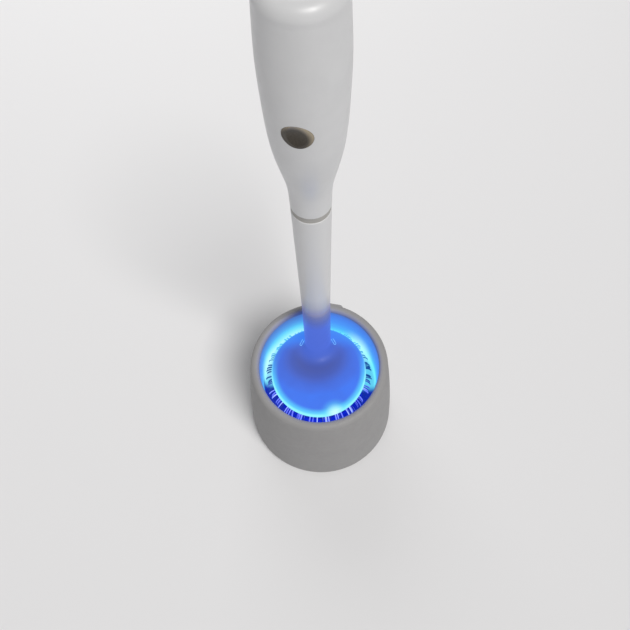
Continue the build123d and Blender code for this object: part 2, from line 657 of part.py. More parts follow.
def save_handle():
    form = handle_form()
    save_handle_part("handle_shell", handle_shell(form))
    save_handle_part("power_button", power_button(form))
    save_handle_part("button_seal", button_groove(BUTTON_R))
    save_handle_part("carrier", carrier())
    save_handle_part("control_board", control_board())
    save_handle_part("tact_switch", tact_switch())
    save_handle_part("switch_plunger", button_bar(1.2, BOARD_FRONT - 0.35 - BUTTON_TRAVEL, BUTTON_BACK))
    save_handle_part("motor", motor())
    cell = cyl(CELL_R, CELL_LOW, CELL_HIGH, 0, CELL_Y)
    save_handle_part("battery_cell", fillet(cell.edges(), 0.5))
    save_handle_part("nose_bush", tube(3.9, OUTPUT_R + RUNNING, *NOSE_BUSH))
    save_handle_part("shaft_seal", tube(3.9, OUTPUT_R + 0.05, *NOSE_SEAL))
    save_handle_part("charging_coil", tube(8.6, 4.6, 293.0, 296.6))
    save_handle_part("end_cap", end_cap())
    save_handle_part("end_cap_seal", tube(CAVITY_R - 0.02, CAP_SEAL_INNER_R, *CAP_SEAL))
    save_handle_part("board_screws", board_screws())
    save_brush_part("output_shaft", output_shaft())


save_cup()
save_head()
save_handle()
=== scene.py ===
import json
import math
import random

import bmesh
import bpy
from mathutils import Matrix, Vector


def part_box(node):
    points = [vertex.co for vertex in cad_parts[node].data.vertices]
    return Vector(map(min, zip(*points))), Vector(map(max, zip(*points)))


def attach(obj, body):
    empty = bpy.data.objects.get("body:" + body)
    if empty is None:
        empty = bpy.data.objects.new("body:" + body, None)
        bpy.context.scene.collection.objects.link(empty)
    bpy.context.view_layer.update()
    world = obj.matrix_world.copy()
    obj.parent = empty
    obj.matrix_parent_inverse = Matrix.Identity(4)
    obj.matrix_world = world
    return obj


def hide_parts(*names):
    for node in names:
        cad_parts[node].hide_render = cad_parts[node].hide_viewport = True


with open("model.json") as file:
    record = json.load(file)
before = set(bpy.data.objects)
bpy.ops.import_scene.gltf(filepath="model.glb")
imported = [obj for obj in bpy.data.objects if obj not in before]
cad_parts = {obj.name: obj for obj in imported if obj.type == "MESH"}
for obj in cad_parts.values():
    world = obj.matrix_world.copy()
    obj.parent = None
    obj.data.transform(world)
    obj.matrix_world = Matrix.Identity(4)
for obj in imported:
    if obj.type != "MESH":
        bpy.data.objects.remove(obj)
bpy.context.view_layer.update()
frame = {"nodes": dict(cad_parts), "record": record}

NODES = frame["nodes"]
MM = 0.001
TURN = 2 * math.pi

# --- sizes read from the frame ---------------------------------------------------------------------------
RIM_LOW, RIM_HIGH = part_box("rim_ring")
SKIN_LOW, SKIN_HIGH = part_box("head_skin")
CORE_LOW, CORE_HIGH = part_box("head_core")
SHAFT_LOW, SHAFT_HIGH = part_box("drive_shaft")
PLATE_LOW, PLATE_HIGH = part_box("bristle_plate")
TUFT_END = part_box("outer_tufts")[0].z
SKIRT_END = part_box("skirt_tufts")[0].z
CHAMBER_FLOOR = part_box("uv_window")[1].z
BUTTON_LOW, BUTTON_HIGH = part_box("power_button")

HEAD_AT = (CORE_LOW + CORE_HIGH).to_2d() / 2
NECK_AT = (SHAFT_LOW + SHAFT_HIGH).to_2d() / 2
NECK_BACK = NECK_AT.y - HEAD_AT.y
HEAD_R = (SKIN_HIGH.x - SKIN_LOW.x) / 2
CORE_R = (CORE_HIGH.x - CORE_LOW.x) / 2
HEAD_TOP = CORE_HIGH.z + (HEAD_R - CORE_R)
SLEEVE_TOP = SKIN_HIGH.z
RIM_TOP = RIM_HIGH.z
PLATE_R = (PLATE_HIGH.x - PLATE_LOW.x) / 2
LAMP_AT = [sum(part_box(f"uv_lamp_{i}"), Vector()) / 2 for i in (1, 2, 3)]

# --- sizes and directions set here -----------------------------------------------------------------------
SLEEVE_R = 7.35 * MM                # silicone sleeve round the neck's lower end
MOUTH_R = 33.0 * MM                 # inner edge of the cup's rim
DIM_TURN = math.radians(35)         # the chamber's painted glow stands lower towards this side
LOBE_TURN = math.radians(289)       # bright painted lobe of light on the head's edge
SKIRT_TUFTS = 24                    # splayed tufts round the plate
TUFT_R = 0.86 * MM                  # radius of an upright tuft
TUFT_STRANDS = 19                   # filaments in an upright tuft
UPRIGHT_RINGS = [                   # piece, node, ring's radius, tufts in the ring
    ("outer_bristles", "outer_tufts", 21.0 * MM, 22),
    ("middle_bristles", "middle_tufts", 15.0 * MM, 15),
    ("inner_bristles", "inner_tufts", 8.5 * MM, 8),
]
GOLDEN_TURN = 2.39996               # angle between filaments that fills a round tuft evenly
FLOOR_GAP = 0.0002                  # the floor lies this far under the foot


def colour(red, green, blue):
    """Linear colour from the 0 to 255 values seen on a screen."""
    channels = []
    for value in (red, green, blue):
        v = value / 255
        channels.append(v / 12.92 if v <= 0.04045 else ((v + 0.055) / 1.055) ** 2.4)
    return (*channels, 1.0)


def round_head(radius, angle, z):
    """Point at that distance and direction from the head's axis."""
    return Vector((HEAD_AT.x + radius * math.cos(angle), HEAD_AT.y + radius * math.sin(angle), z))


# --- camera, floor and light -----------------------------------------------------------------------------
def make_camera():
    """Camera close above the brush, looking steeply down into the cup, rolled a little."""
    lens, distance = 41.3, 0.397
    ray_azimuth, ray_elevation = math.radians(1.3), math.radians(67.5)
    azimuth, elevation, roll = math.radians(1.6), math.radians(63.65), math.radians(3.1)
    back = Vector((math.sin(ray_azimuth) * math.cos(ray_elevation),
                   -math.cos(ray_azimuth) * math.cos(ray_elevation),
                   math.sin(ray_elevation)))
    data = bpy.data.cameras.new("camera")
    data.lens = lens
    data.sensor_width = 36.0
    data.clip_start = 0.01
    camera = bpy.data.objects.new("camera", data)
    bpy.context.scene.collection.objects.link(camera)
    camera.location = Vector((0, 0, RIM_TOP)) + back * distance
    turn = Matrix.Rotation(azimuth, 4, "Z") @ Matrix.Rotation(math.pi / 2 - elevation, 4, "X")
    camera.rotation_euler = (turn @ Matrix.Rotation(-roll, 4, "Z")).to_euler()
    bpy.context.scene.camera = camera


def area_light(name, place, aim, size, power, tint):
    """Square soft light aimed at a point."""
    data = bpy.data.lights.new(name, "AREA")
    data.size = size
    data.energy = power
    data.color = tint
    light = bpy.data.objects.new(name, data)
    bpy.context.scene.collection.objects.link(light)
    light.location = place
    light.rotation_euler = (Vector(aim) - Vector(place)).to_track_quat("-Z", "Y").to_euler()


def make_floor():
    """Plain pale floor, wide enough for low views."""
    bm = bmesh.new()
    bmesh.ops.create_grid(bm, x_segments=1, y_segments=1, size=6.0)
    mesh = bpy.data.meshes.new("floor")
    bm.to_mesh(mesh)
    bm.free()
    floor = bpy.data.objects.new("floor", mesh)
    bpy.context.scene.collection.objects.link(floor)
    floor.location.z = -FLOOR_GAP
    sketch = Sketch("floor_pale")
    sketch.set("Base Color", (0.78, 0.78, 0.79, 1))
    sketch.set("Roughness", 0.75)
    mesh.materials.append(sketch.material)


def make_light():
    """Broad key from the front right, a soft light from behind, and a pale, even surround."""
    key = bpy.data.lights.new("key", "SUN")
    key.angle = math.radians(24)
    key.energy = 2.3
    key.color = (1.0, 0.985, 0.965)
    light = bpy.data.objects.new("key", key)
    bpy.context.scene.collection.objects.link(light)
    light.rotation_euler = Vector((-0.32, 0.46, -0.95)).to_track_quat("-Z", "Y").to_euler()
    area_light("back", (-0.2, 0.8, 0.6), (0, 0, 0.1), 0.8, 2.4, (1.0, 1.0, 1.0))
    world = bpy.data.worlds.new("studio")
    world.use_nodes = True
    background = world.node_tree.nodes["Background"]
    background.inputs["Color"].default_value = (0.83, 0.83, 0.84, 1)
    background.inputs["Strength"].default_value = 0.26
    bpy.context.scene.world = world
    bpy.context.scene.view_settings.view_transform = "Standard"


# --- material building -----------------------------------------------------------------------------------
class Sketch:
    """One Principled material and short calls for the nodes that feed it."""

    def __init__(self, name):
        self.material = bpy.data.materials.new(name)
        self.material.use_nodes = True
        self.tree = self.material.node_tree
        self.shader = self.tree.nodes["Principled BSDF"]
        self.coords = self.tree.nodes.new("ShaderNodeTexCoord").outputs["Object"]

    def set(self, socket, value):
        self.shader.inputs[socket].default_value = value

    def feed(self, socket, output):
        self.tree.links.new(output, self.shader.inputs[socket])

    def glow(self, output, strength=1.0):
        self.feed("Emission Color", output)
        self.set("Emission Strength", strength)

    def node(self, kind, inputs=None, **settings):
        made = self.tree.nodes.new(kind)
        for key, value in settings.items():
            setattr(made, key, value)
        for key, value in (inputs or {}).items():
            if isinstance(value, bpy.types.NodeSocket):
                self.tree.links.new(value, made.inputs[key])
            else:
                made.inputs[key].default_value = value
        return made

    def noise(self, scale, detail=3.0, coords=None):
        """Noise with that many grains per metre."""
        inputs = {"Vector": coords or self.coords, "Scale": scale, "Detail": detail}
        return self.node("ShaderNodeTexNoise", inputs).outputs["Fac"]

    def stretched(self, x, y, z):
        """The object's coordinates, multiplied along each axis."""
        inputs = {0: self.coords, 1: (x, y, z)}
        return self.node("ShaderNodeVectorMath", inputs, operation="MULTIPLY").outputs["Vector"]

    def math(self, operation, a, b=0.0):
        return self.node("ShaderNodeMath", {0: a, 1: b}, operation=operation).outputs["Value"]

    def between(self, value, low, high, to_low=0.0, to_high=1.0, kind="SMOOTHSTEP"):
        """Maps value from low..high to to_low..to_high, and holds it there outside."""
        inputs = {"Value": value, "From Min": low, "From Max": high, "To Min": to_low, "To Max": to_high}
        return self.node("ShaderNodeMapRange", inputs, interpolation_type=kind).outputs["Result"]

    def ramp(self, value, stops):
        """Colours along a value from 0 to 1; stops are (place, colour)."""
        made = self.node("ShaderNodeValToRGB", {"Fac": value})
        elements = made.color_ramp.elements
        elements[0].position, elements[0].color = stops[0]
        elements[1].position, elements[1].color = stops[-1]
        for place, tint in stops[1:-1]:
            elements.new(place).color = tint
        return made.outputs["Color"]

    def mix(self, factor, a, b):
        """Colour a where the factor is 0, b where it is 1."""
        made = self.tree.nodes.new("ShaderNodeMix")
        made.data_type = "RGBA"
        for index, value in ((0, factor), (6, a), (7, b)):
            if isinstance(value, bpy.types.NodeSocket):
                self.tree.links.new(value, made.inputs[index])
            else:
                made.inputs[index].default_value = value
        return made.outputs[2]

    def part(self, axis, coords=None):
        """One coordinate, in metres."""
        return self.node("ShaderNodeSeparateXYZ", {"Vector": coords or self.coords}).outputs[axis]

    def distance(self, place):
        """Distance from a point, in metres."""
        inputs = {0: self.coords, 1: tuple(place)}
        return self.node("ShaderNodeVectorMath", inputs, operation="DISTANCE").outputs["Value"]

    def radius(self, axis=(0.0, 0.0), stretch=(1.0, 1.0)):
        """Distance from an upright axis, in metres; stretch counts distance more along X or Y."""
        flat = self.stretched(*stretch, 0)
        inputs = {0: flat, 1: (axis[0] * stretch[0], axis[1] * stretch[1], 0)}
        return self.node("ShaderNodeVectorMath", inputs, operation="DISTANCE").outputs["Value"]

    def turn_noise(self, axis, scale):
        """Noise round an upright axis, the same all along a radial strand; scale is grains per turn."""
        moved = self.node("ShaderNodeVectorMath", {0: self.coords, 1: (*axis, 0)}, operation="SUBTRACT")
        split = self.node("ShaderNodeSeparateXYZ", {"Vector": moved.outputs["Vector"]})
        angle = self.math("ARCTAN2", split.outputs["Y"], split.outputs["X"])
        inputs = {"W": angle, "Scale": scale / TURN, "Detail": 1.0}
        return self.node("ShaderNodeTexNoise", inputs, noise_dimensions="1D").outputs["Fac"]

    def nearness(self, place, reach):
        """1 at a point, falling smoothly to 0 at that distance."""
        return self.between(self.distance(place), 0.0, reach, 1.0, 0.0)

    def bump(self, height, depth):
        """Relief of that depth in metres."""
        inputs = {"Height": height, "Distance": depth, "Strength": 1.0}
        self.feed("Normal", self.node("ShaderNodeBump", inputs).outputs["Normal"])


def moulded(name, tint, roughness, grain=2600.0, depth=0.012 * MM, gloss_range=0.08):
    """Moulded plastic: faint cloudy tone, fine grain, uneven gloss."""
    s = Sketch(name)
    cloud = s.between(s.noise(90.0, 4.0), 0.3, 0.7)
    darker = (*[c * 0.965 for c in tint[:3]], 1)
    s.feed("Base Color", s.mix(cloud, tint, darker))
    s.feed("Roughness", s.between(s.noise(400.0), 0.3, 0.7, roughness, roughness + gloss_range))
    s.bump(s.noise(grain, 2.0), depth)
    return s


def metal(name, tint, roughness, streaks=(1.0, 1.0, 0.04)):
    """Metal with fine turning or drawing marks."""
    s = Sketch(name)
    s.set("Metallic", 1.0)
    lines = s.noise(9000.0, 2.0, s.stretched(*streaks))
    s.feed("Base Color", s.mix(s.between(lines, 0.35, 0.65), tint, (*[c * 0.82 for c in tint[:3]], 1)))
    s.feed("Roughness", s.between(lines, 0.3, 0.7, roughness, roughness + 0.12))
    s.bump(lines, 0.004 * MM)
    return s


def lamp_spots(s, radius, height, reach):
    """1 beside each lamp on a circle at that height, falling to 0 over the reach: the mask for painted
    pools of lamp light.
    """
    spots = None
    for at in LAMP_AT:
        beside = at.xy.normalized() * radius
        near = s.nearness((beside.x, beside.y, height), reach)
        spots = near if spots is None else s.math("ADD", spots, near)
    return spots


def stem_fade(s):
    """Tone and painted light up the stem: silicone with a painted blue glow turns into white plastic with
    no edge at the sleeve's end.
    """
    height = s.between(s.part("Z"), SLEEVE_TOP - 18 * MM, SLEEVE_TOP + 16 * MM, kind="LINEAR")
    tone = s.ramp(height, [
        (0.00, (0.020, 0.024, 0.055, 1)),
        (0.22, (0.080, 0.082, 0.095, 1)),
        (0.42, (0.220, 0.222, 0.230, 1)),
        (0.53, (0.360, 0.362, 0.370, 1)),
        (0.74, (0.560, 0.563, 0.570, 1)),
        (1.00, (0.680, 0.683, 0.690, 1)),
    ])
    # painted blue light, strongest low on the sleeve and gone on the white plastic above
    glow = s.ramp(height, [
        (0.00, (0.070, 0.138, 0.620, 1)),
        (0.22, (0.052, 0.095, 0.410, 1)),
        (0.42, (0.012, 0.034, 0.235, 1)),
        (0.53, (0.000, 0.003, 0.150, 1)),
        (0.74, (0.000, 0.000, 0.030, 1)),
        (1.00, (0.000, 0.000, 0.000, 1)),
    ])
    return tone, glow


def painted_chamber_light(s):
    """Painted light on the chamber's wall, standing in for the lamps' light: near white low on the wall,
    cyan, then blue, and violet at the rim.

    The painted glow stands lower on the right at the back and beside the head, and painted shade from the
    tufts turns the floor and low wall in front deep blue.
    """
    height = s.between(s.part("Z"), CHAMBER_FLOOR, RIM_TOP, kind="LINEAR")
    left = s.ramp(height, [
        (0.00, colour(90, 192, 228)),
        (0.18, colour(132, 222, 236)),
        (0.30, colour(176, 244, 248)),
        (0.42, colour(136, 232, 242)),
        (0.55, colour(96, 204, 238)),
        (0.63, colour(84, 172, 226)),
        (0.72, colour(78, 146, 214)),
        (0.86, colour(74, 116, 184)),
        (1.00, colour(80, 98, 146)),
    ])
    right = s.ramp(height, [
        (0.00, colour(94, 202, 232)),
        (0.10, colour(112, 226, 240)),
        (0.22, colour(112, 236, 248)),
        (0.33, colour(82, 196, 240)),
        (0.42, colour(74, 168, 236)),
        (0.58, colour(70, 142, 232)),
        (0.80, colour(68, 120, 218)),
        (0.93, colour(74, 104, 172)),
        (1.00, colour(78, 96, 146)),
    ])
    inputs = {0: s.coords, 1: (math.cos(DIM_TURN), math.sin(DIM_TURN), 0)}
    aside = s.node("ShaderNodeVectorMath", inputs, operation="DOT_PRODUCT").outputs["Value"]
    beside = s.between(s.part("Y"), 14 * MM, 1 * MM)
    dimmer = s.math("MAXIMUM", s.between(aside, 5 * MM, 26 * MM), beside)
    wall = s.mix(dimmer, left, right)
    # painted pools of near white light beside each lamp
    spots = s.math("MULTIPLY", lamp_spots(s, radius=31 * MM, height=46 * MM, reach=15 * MM), 0.60)
    bright = s.mix(spots, wall, colour(206, 255, 255))
    # painted shade of the tufts: deep blue on the floor and low wall in front
    ahead = s.math("ADD", s.part("Y"), s.math("MULTIPLY", s.part("X"), 0.07))
    front = s.between(ahead, 1 * MM, -4 * MM)
    low = s.between(s.part("Z"), CHAMBER_FLOOR + 14 * MM, CHAMBER_FLOOR + 7 * MM)
    s.glow(s.mix(s.math("MULTIPLY", front, low), bright, colour(8, 22, 156)))


def painted_head_light(s):
    """Painted light through the silicone: painted shade, dull violet, over the hub, bluer outward, and a
    painted cyan edge at the front.

    Returns the base tone, which turns into the neck's white up the stem.
    """
    # painted shade of the hub: the darkest violet is centred here, near the neck's base
    hub = (HEAD_AT.x - 1.4 * MM, HEAD_AT.y + 6.6 * MM)
    across = s.between(s.radius(hub, (1.0, 1.25)), 0.0, 27 * MM, kind="LINEAR")
    face = s.ramp(across, [
        (0.00, colour(58, 76, 156)),
        (0.35, colour(66, 84, 162)),
        (0.50, colour(64, 88, 176)),
        (0.60, colour(66, 96, 194)),
        (0.72, colour(62, 104, 214)),
        (0.86, colour(62, 110, 226)),
        (1.00, colour(58, 118, 240)),
    ])
    patch = s.between(s.noise(60.0, 2.0), 0.35, 0.75, 0.0, 0.22)
    face = s.mix(patch, face, colour(62, 80, 170))
    # painted light behind the neck: the far part of the face takes the wall's blue
    behind = s.between(s.part("Y"), NECK_AT.y - 5 * MM, NECK_AT.y + 3 * MM)
    face = s.mix(behind, face, colour(60, 126, 238))
    # painted violet shade round the neck's root
    near_neck = s.between(s.radius(NECK_AT), SLEEVE_R + 9 * MM, SLEEVE_R + 1 * MM)
    root = s.math("MULTIPLY", near_neck, s.math("SUBTRACT", 1.0, behind))
    face = s.mix(root, face, colour(68, 98, 200))
    # painted cyan edge light, strongest at the front
    front = s.between(s.part("Y"), HEAD_AT.y + 11 * MM, HEAD_AT.y - 9 * MM, 0.10, 1.0)
    edge = s.between(s.radius(HEAD_AT), HEAD_R - 4.4 * MM, HEAD_R - 0.7 * MM)
    face = s.mix(s.math("MULTIPLY", edge, front), face, colour(88, 206, 250))
    brink = s.between(s.radius(HEAD_AT), HEAD_R - 1.4 * MM, HEAD_R - 0.2 * MM)
    face = s.mix(s.math("MULTIPLY", brink, front), face, colour(146, 246, 254))
    # painted bright lobe of light on the edge, near white at its middle
    lobe = round_head(HEAD_R + 0.6 * MM, LOBE_TURN, HEAD_TOP - 1 * MM)
    face = s.mix(s.nearness(lobe, 9.5 * MM), face, colour(104, 232, 252))
    face = s.mix(s.nearness(lobe, 6.6 * MM), face, colour(206, 255, 255))
    tone, stem = stem_fade(s)
    up = s.between(s.part("Z"), HEAD_TOP + 0.3 * MM, HEAD_TOP + 6 * MM)
    s.glow(s.mix(up, face, stem))
    return tone


def silicone_head():
    """Translucent silicone with its light from inside painted on, satin and faintly uneven."""
    s = Sketch("silicone_painted_light")
    s.feed("Base Color", painted_head_light(s))
    s.feed("Roughness", s.between(s.noise(300.0), 0.3, 0.7, 0.42, 0.52))
    s.set("Specular IOR Level", 0.20)
    s.bump(s.noise(1500.0, 2.0), 0.02 * MM)
    return s.material


def bead_painted_glint():
    """The same silicone where it is a thin raised bead, with a painted glint of pale blue light."""
    s = Sketch("bead_painted_glint")
    s.set("Base Color", (0.03, 0.05, 0.10, 1))
    # painted glint: pale blue emission, a little cloudy
    cloud = s.between(s.noise(700.0, 2.0), 0.35, 0.65)
    s.glow(s.mix(cloud, colour(92, 164, 248), colour(122, 192, 252)))
    s.set("Roughness", 0.45)
    return s.material


def white_shell():
    """Matt white cup, with a trace of painted blue light on the rim's inner edge beside the chamber's glow.
    """
    s = moulded("moulded_white_matt", (0.31, 0.306, 0.308, 1), 0.55)
    # painted blue light on the rim's inner edge
    inside = s.math("MULTIPLY", s.between(s.radius(), MOUTH_R + 2.4 * MM, MOUTH_R),
                    s.between(s.part("Z"), RIM_LOW.z, RIM_LOW.z + 1 * MM))
    s.glow(s.mix(inside, (0, 0, 0, 1), colour(22, 38, 90)))
    return s.material


def liner():
    """The chamber's wall, with the lamps' light on it painted as emission."""
    s = moulded("moulded_liner_painted_light", (0.03, 0.05, 0.12, 1), 0.45, grain=900.0)
    painted_chamber_light(s)
    return s.material


def bristle():
    """Nylon filaments, each glowing with painted light whose brightness differs at random, from dark to
    near white.

    The upright ones get painted shade. Wherever the head is turned, those beside it glow dark against the
    lit wall, and the ones behind it take a painted cyan from the wall.
    """
    s = Sketch("nylon_filament")
    tone = s.turn_noise(HEAD_AT, 150.0)
    # painted light on the filaments, its brightness set by the random tone
    lit = s.ramp(s.between(tone, 0.34, 0.70, kind="LINEAR"), [
        (0.00, colour(10, 24, 110)),
        (0.20, colour(30, 44, 170)),
        (0.34, colour(84, 84, 224)),
        (0.62, colour(124, 134, 246)),
        (1.00, colour(182, 204, 254)),
    ])
    # painted shade and light by where a strand stands: dark beside the head, a painted cyan from the wall
    # behind it
    back = s.part("Y", s.node("ShaderNodeNewGeometry").outputs["Position"])
    behind = s.between(back, -11 * MM, -1 * MM)
    # painted shade: the upright tufts under the plate glow darker
    high = s.between(s.part("Z"), PLATE_LOW.z - 1 * MM, PLATE_LOW.z + 3 * MM)
    shown = s.mix(high, colour(16, 40, 130), lit)
    shade = s.mix(s.between(back, 5 * MM, 19 * MM), colour(14, 62, 138), colour(84, 184, 230))
    s.glow(s.mix(behind, shown, shade))
    pale = s.mix(s.between(tone, 0.38, 0.55), (0.02, 0.03, 0.14, 1), (0.18, 0.22, 0.42, 1))
    s.feed("Base Color", s.mix(behind, pale, (0.01, 0.03, 0.06, 1)))
    s.set("Roughness", 0.35)
    return s.material


def plate_painted_light():
    """The bristle plate, with the chamber's light painted on it as a deep blue glow."""
    s = moulded("moulded_plate_painted_light", (0.008, 0.012, 0.05, 1), 0.6)
    # painted glow, a little brighter towards the plate's top
    up = s.between(s.part("Z"), PLATE_LOW.z, PLATE_HIGH.z)
    s.glow(s.ramp(up, [(0.0, colour(10, 22, 138)), (1.0, colour(14, 30, 168))]))
    return s.material


def window_glass():
    """Clear window with a painted blue glow, brightest over each lamp."""
    s = Sketch("window_clear")
    # painted blue glow over the whole window, with painted pools of light over the lamps
    spots = lamp_spots(s, radius=LAMP_AT[0].xy.length, height=CHAMBER_FLOOR, reach=4.5 * MM)
    s.glow(s.mix(spots, colour(8, 26, 160), (0.40, 0.90, 1.0, 1)), 0.9)
    s.set("Base Color", (0.06, 0.12, 0.50, 1))
    s.set("Transmission Weight", 0.55)
    s.set("IOR", 1.46)
    s.feed("Roughness", s.between(s.noise(500.0), 0.3, 0.7, 0.04, 0.10))
    return s.material


def lamp_chip():
    """Lamp chip, lit unevenly."""
    s = Sketch("lamp_lit")
    s.set("Base Color", (0.8, 0.9, 1.0, 1))
    core = s.between(s.noise(1400.0, 2.0), 0.35, 0.65)
    s.glow(s.mix(core, (0.45, 0.85, 1.0, 1), (0.85, 1.0, 1.0, 1)), 3.0)
    s.set("Roughness", 0.15)
    return s.material


def satin(name, tint):
    """Satin coated plastic of the neck and handle."""
    s = moulded(name, tint, 0.34, grain=1200.0, depth=0.006 * MM)
    s.set("Coat Weight", 0.15)
    s.set("Coat Roughness", 0.25)
    return s


def neck_white():
    """The neck's satin white, with the sleeve's painted blue glow fading out up it."""
    s = satin("satin_white_neck", (0.68, 0.683, 0.69, 1))
    tone, glow = stem_fade(s)
    s.feed("Base Color", tone)
    s.glow(glow)
    return s.material


def bronze_button():
    """Dark bronze lacquer with fine metallic flake and a painted highlight on its edge, widest at the upper
    right.
    """
    s = Sketch("bronze_lacquer")
    centre = (BUTTON_LOW + BUTTON_HIGH) / 2
    # painted highlight: a lighter edge round a point set low and left of the button's centre
    dark = (centre.x - 1.6 * MM, BUTTON_LOW.y, centre.z - 1.4 * MM)
    edge = s.between(s.distance(dark), 4.4 * MM, 7.6 * MM)
    flake = s.between(s.noise(5200.0, 1.0), 0.45, 0.62, 0.0, 0.35)
    body = s.mix(flake, (0.036, 0.029, 0.020, 1), (0.12, 0.097, 0.067, 1))
    s.feed("Base Color", s.mix(edge, body, (0.46, 0.39, 0.28, 1)))
    s.set("Metallic", 0.55)
    s.set("Roughness", 0.38)
    s.set("Coat Weight", 0.25)
    s.bump(s.noise(3000.0, 1.0), 0.01 * MM)
    return s.material


def circuit_board():
    """Green solder mask with copper tracks under it and small pads."""
    s = Sketch("board_green")
    brick = s.node("ShaderNodeTexBrick", {"Vector": s.coords, "Scale": 260.0, "Mortar Size": 0.018})
    tracks = s.between(brick.outputs["Fac"], 0.2, 0.8)
    cells = s.node("ShaderNodeTexVoronoi", {"Vector": s.coords, "Scale": 420.0})
    pads = s.between(cells.outputs["Distance"], 0.22, 0.16)
    mask = s.mix(tracks, (0.012, 0.085, 0.035, 1), (0.03, 0.16, 0.06, 1))
    s.feed("Base Color", s.mix(pads, mask, (0.62, 0.60, 0.52, 1)))
    s.feed("Metallic", s.math("MULTIPLY", pads, 0.9))
    s.set("Roughness", 0.32)
    s.set("Coat Weight", 0.4)
    s.bump(tracks, 0.03 * MM)
    return s.material


def wrapped_cell():
    """Blue shrink wrap over a cell: gloss, faint wrinkles, a bare end."""
    s = Sketch("cell_wrap_blue")
    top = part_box("battery_cell")[1].z
    bare = s.between(s.part("Z"), top - 4.2 * MM, top - 3.8 * MM)
    s.feed("Base Color", s.mix(bare, (0.05, 0.14, 0.34, 1), (0.70, 0.71, 0.72, 1)))
    s.set("Roughness", 0.22)
    s.set("Coat Weight", 0.5)
    s.bump(s.noise(350.0, 4.0, s.stretched(1, 1, 0.3)), 0.05 * MM)
    return s.material


def rubber(name, tint):
    """Dull rubber with a coarse grain."""
    s = moulded(name, tint, 0.68, grain=1800.0, depth=0.03 * MM, gloss_range=0.15)
    s.set("Sheen Weight", 0.15)
    return s.material


def copper_winding():
    """Wound copper wire: close turns as relief, with painted shade darkening the grooves between them."""
    s = Sketch("copper_winding")
    s.set("Metallic", 1.0)
    wire = 0.45 * MM
    turns = s.math("SINE", s.math("MULTIPLY", s.radius(NECK_AT), TURN / wire))
    ridge = s.between(turns, -1.0, 1.0)
    # painted shade: darker copper in the grooves between turns
    s.feed("Base Color", s.mix(ridge, (0.30, 0.11, 0.05, 1), (0.72, 0.36, 0.20, 1)))
    s.set("Roughness", 0.28)
    s.bump(ridge, 0.12 * MM)
    return s.material


def sintered_bronze():
    """Porous bearing bronze."""
    s = metal("sintered_bronze", (0.48, 0.31, 0.14, 1), 0.42, (1, 1, 1))
    pores = s.between(s.noise(6500.0, 2.0), 0.30, 0.42)
    s.bump(pores, 0.02 * MM)
    return s.material


def acetal():
    """Natural acetal, a little milky."""
    s = moulded("acetal_natural", (0.74, 0.71, 0.62, 1), 0.38, grain=1600.0)
    s.set("Subsurface Weight", 0.1)
    s.set("Subsurface Radius", (0.001, 0.0008, 0.0006))
    return s.material


def insulation():
    """Wire insulation: smooth, with a paler stripe along one lead."""
    s = Sketch("insulation_red")
    stripe = s.between(s.noise(180.0, 0.0, s.stretched(1, 1, 0.02)), 0.48, 0.52)
    s.feed("Base Color", s.mix(stripe, (0.30, 0.02, 0.02, 1), (0.38, 0.05, 0.04, 1)))
    s.set("Roughness", 0.40)
    s.bump(s.noise(2400.0, 1.0), 0.008 * MM)
    return s.material


# --- finish for each material slot -----------------------------------------------------------------------
def finishes():
    """Material for each of the record's slots."""
    return {
        "shell_white": white_shell(),
        "liner_white": liner(),
        "window_clear": window_glass(),
        "seal_grey": rubber("silicone_grey", (0.14, 0.145, 0.15, 1)),
        "reflector": metal("aluminium_vapour", (0.86, 0.87, 0.90, 1), 0.12).material,
        "board_green": circuit_board(),
        "lamp": lamp_chip(),
        "chip_black": moulded("epoxy_black", (0.02, 0.02, 0.022, 1), 0.45).material,
        "frame_grey": moulded("moulded_grey", (0.30, 0.305, 0.32, 1), 0.5).material,
        "cell_wrap": wrapped_cell(),
        "bright_steel": metal("steel_turned", (0.58, 0.585, 0.60, 1), 0.26).material,
        "connector_steel": metal("steel_plated", (0.72, 0.73, 0.75, 1), 0.16, (1, 0.05, 1)).material,
        "foot_rubber": rubber("rubber_black", (0.025, 0.025, 0.027, 1)),
        "lead_insulation": insulation(),
        "head_silicone": silicone_head(),
        "neck_white": neck_white(),
        "core_white": plate_painted_light(),
        "ring_grey": moulded("moulded_ring_grey", (0.41, 0.40, 0.38, 1), 0.5).material,
        "bush_bronze": sintered_bronze(),
        "bristle_violet": bristle(),
        "gear_natural": acetal(),
        "handle_white": satin("satin_white_handle", (0.68, 0.684, 0.693, 1)).material,
        "button_bronze": bronze_button(),
        "copper_coil": copper_winding(),
    }


def dress(materials):
    """Gives each CAD node its slot's material."""
    for row in frame["record"]["subparts"]:
        mesh = NODES[row["node"]].data
        mesh.materials.clear()
        mesh.materials.append(materials[row["material_slot"]])


# --- meshes ----------------------------------------------------------------------------------------------
def piece(name, verts, faces, material, body, slot, *nodes):
    """Closed, smooth mesh that rides on a body and stands for CAD nodes."""
    mesh = bpy.data.meshes.new(name)
    mesh.from_pydata(verts, [], faces)
    bm = bmesh.new()
    bm.from_mesh(mesh)
    bmesh.ops.recalc_face_normals(bm, faces=bm.faces)
    bm.to_mesh(mesh)
    bm.free()
    mesh.shade_smooth()
    mesh.materials.append(material)
    made = bpy.data.objects.new(name, mesh)
    bpy.context.scene.collection.objects.link(made)
    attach(made, body)
    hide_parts(*nodes)


def arc(centre, radius, start, end, count):
    """Points on an arc in a section plane, angles in degrees."""
    points = []
    for i in range(count + 1):
        a = math.radians(start + (end - start) * i / count)
        points.append((centre[0] + radius * math.cos(a), centre[1] + radius * math.sin(a)))
    return points


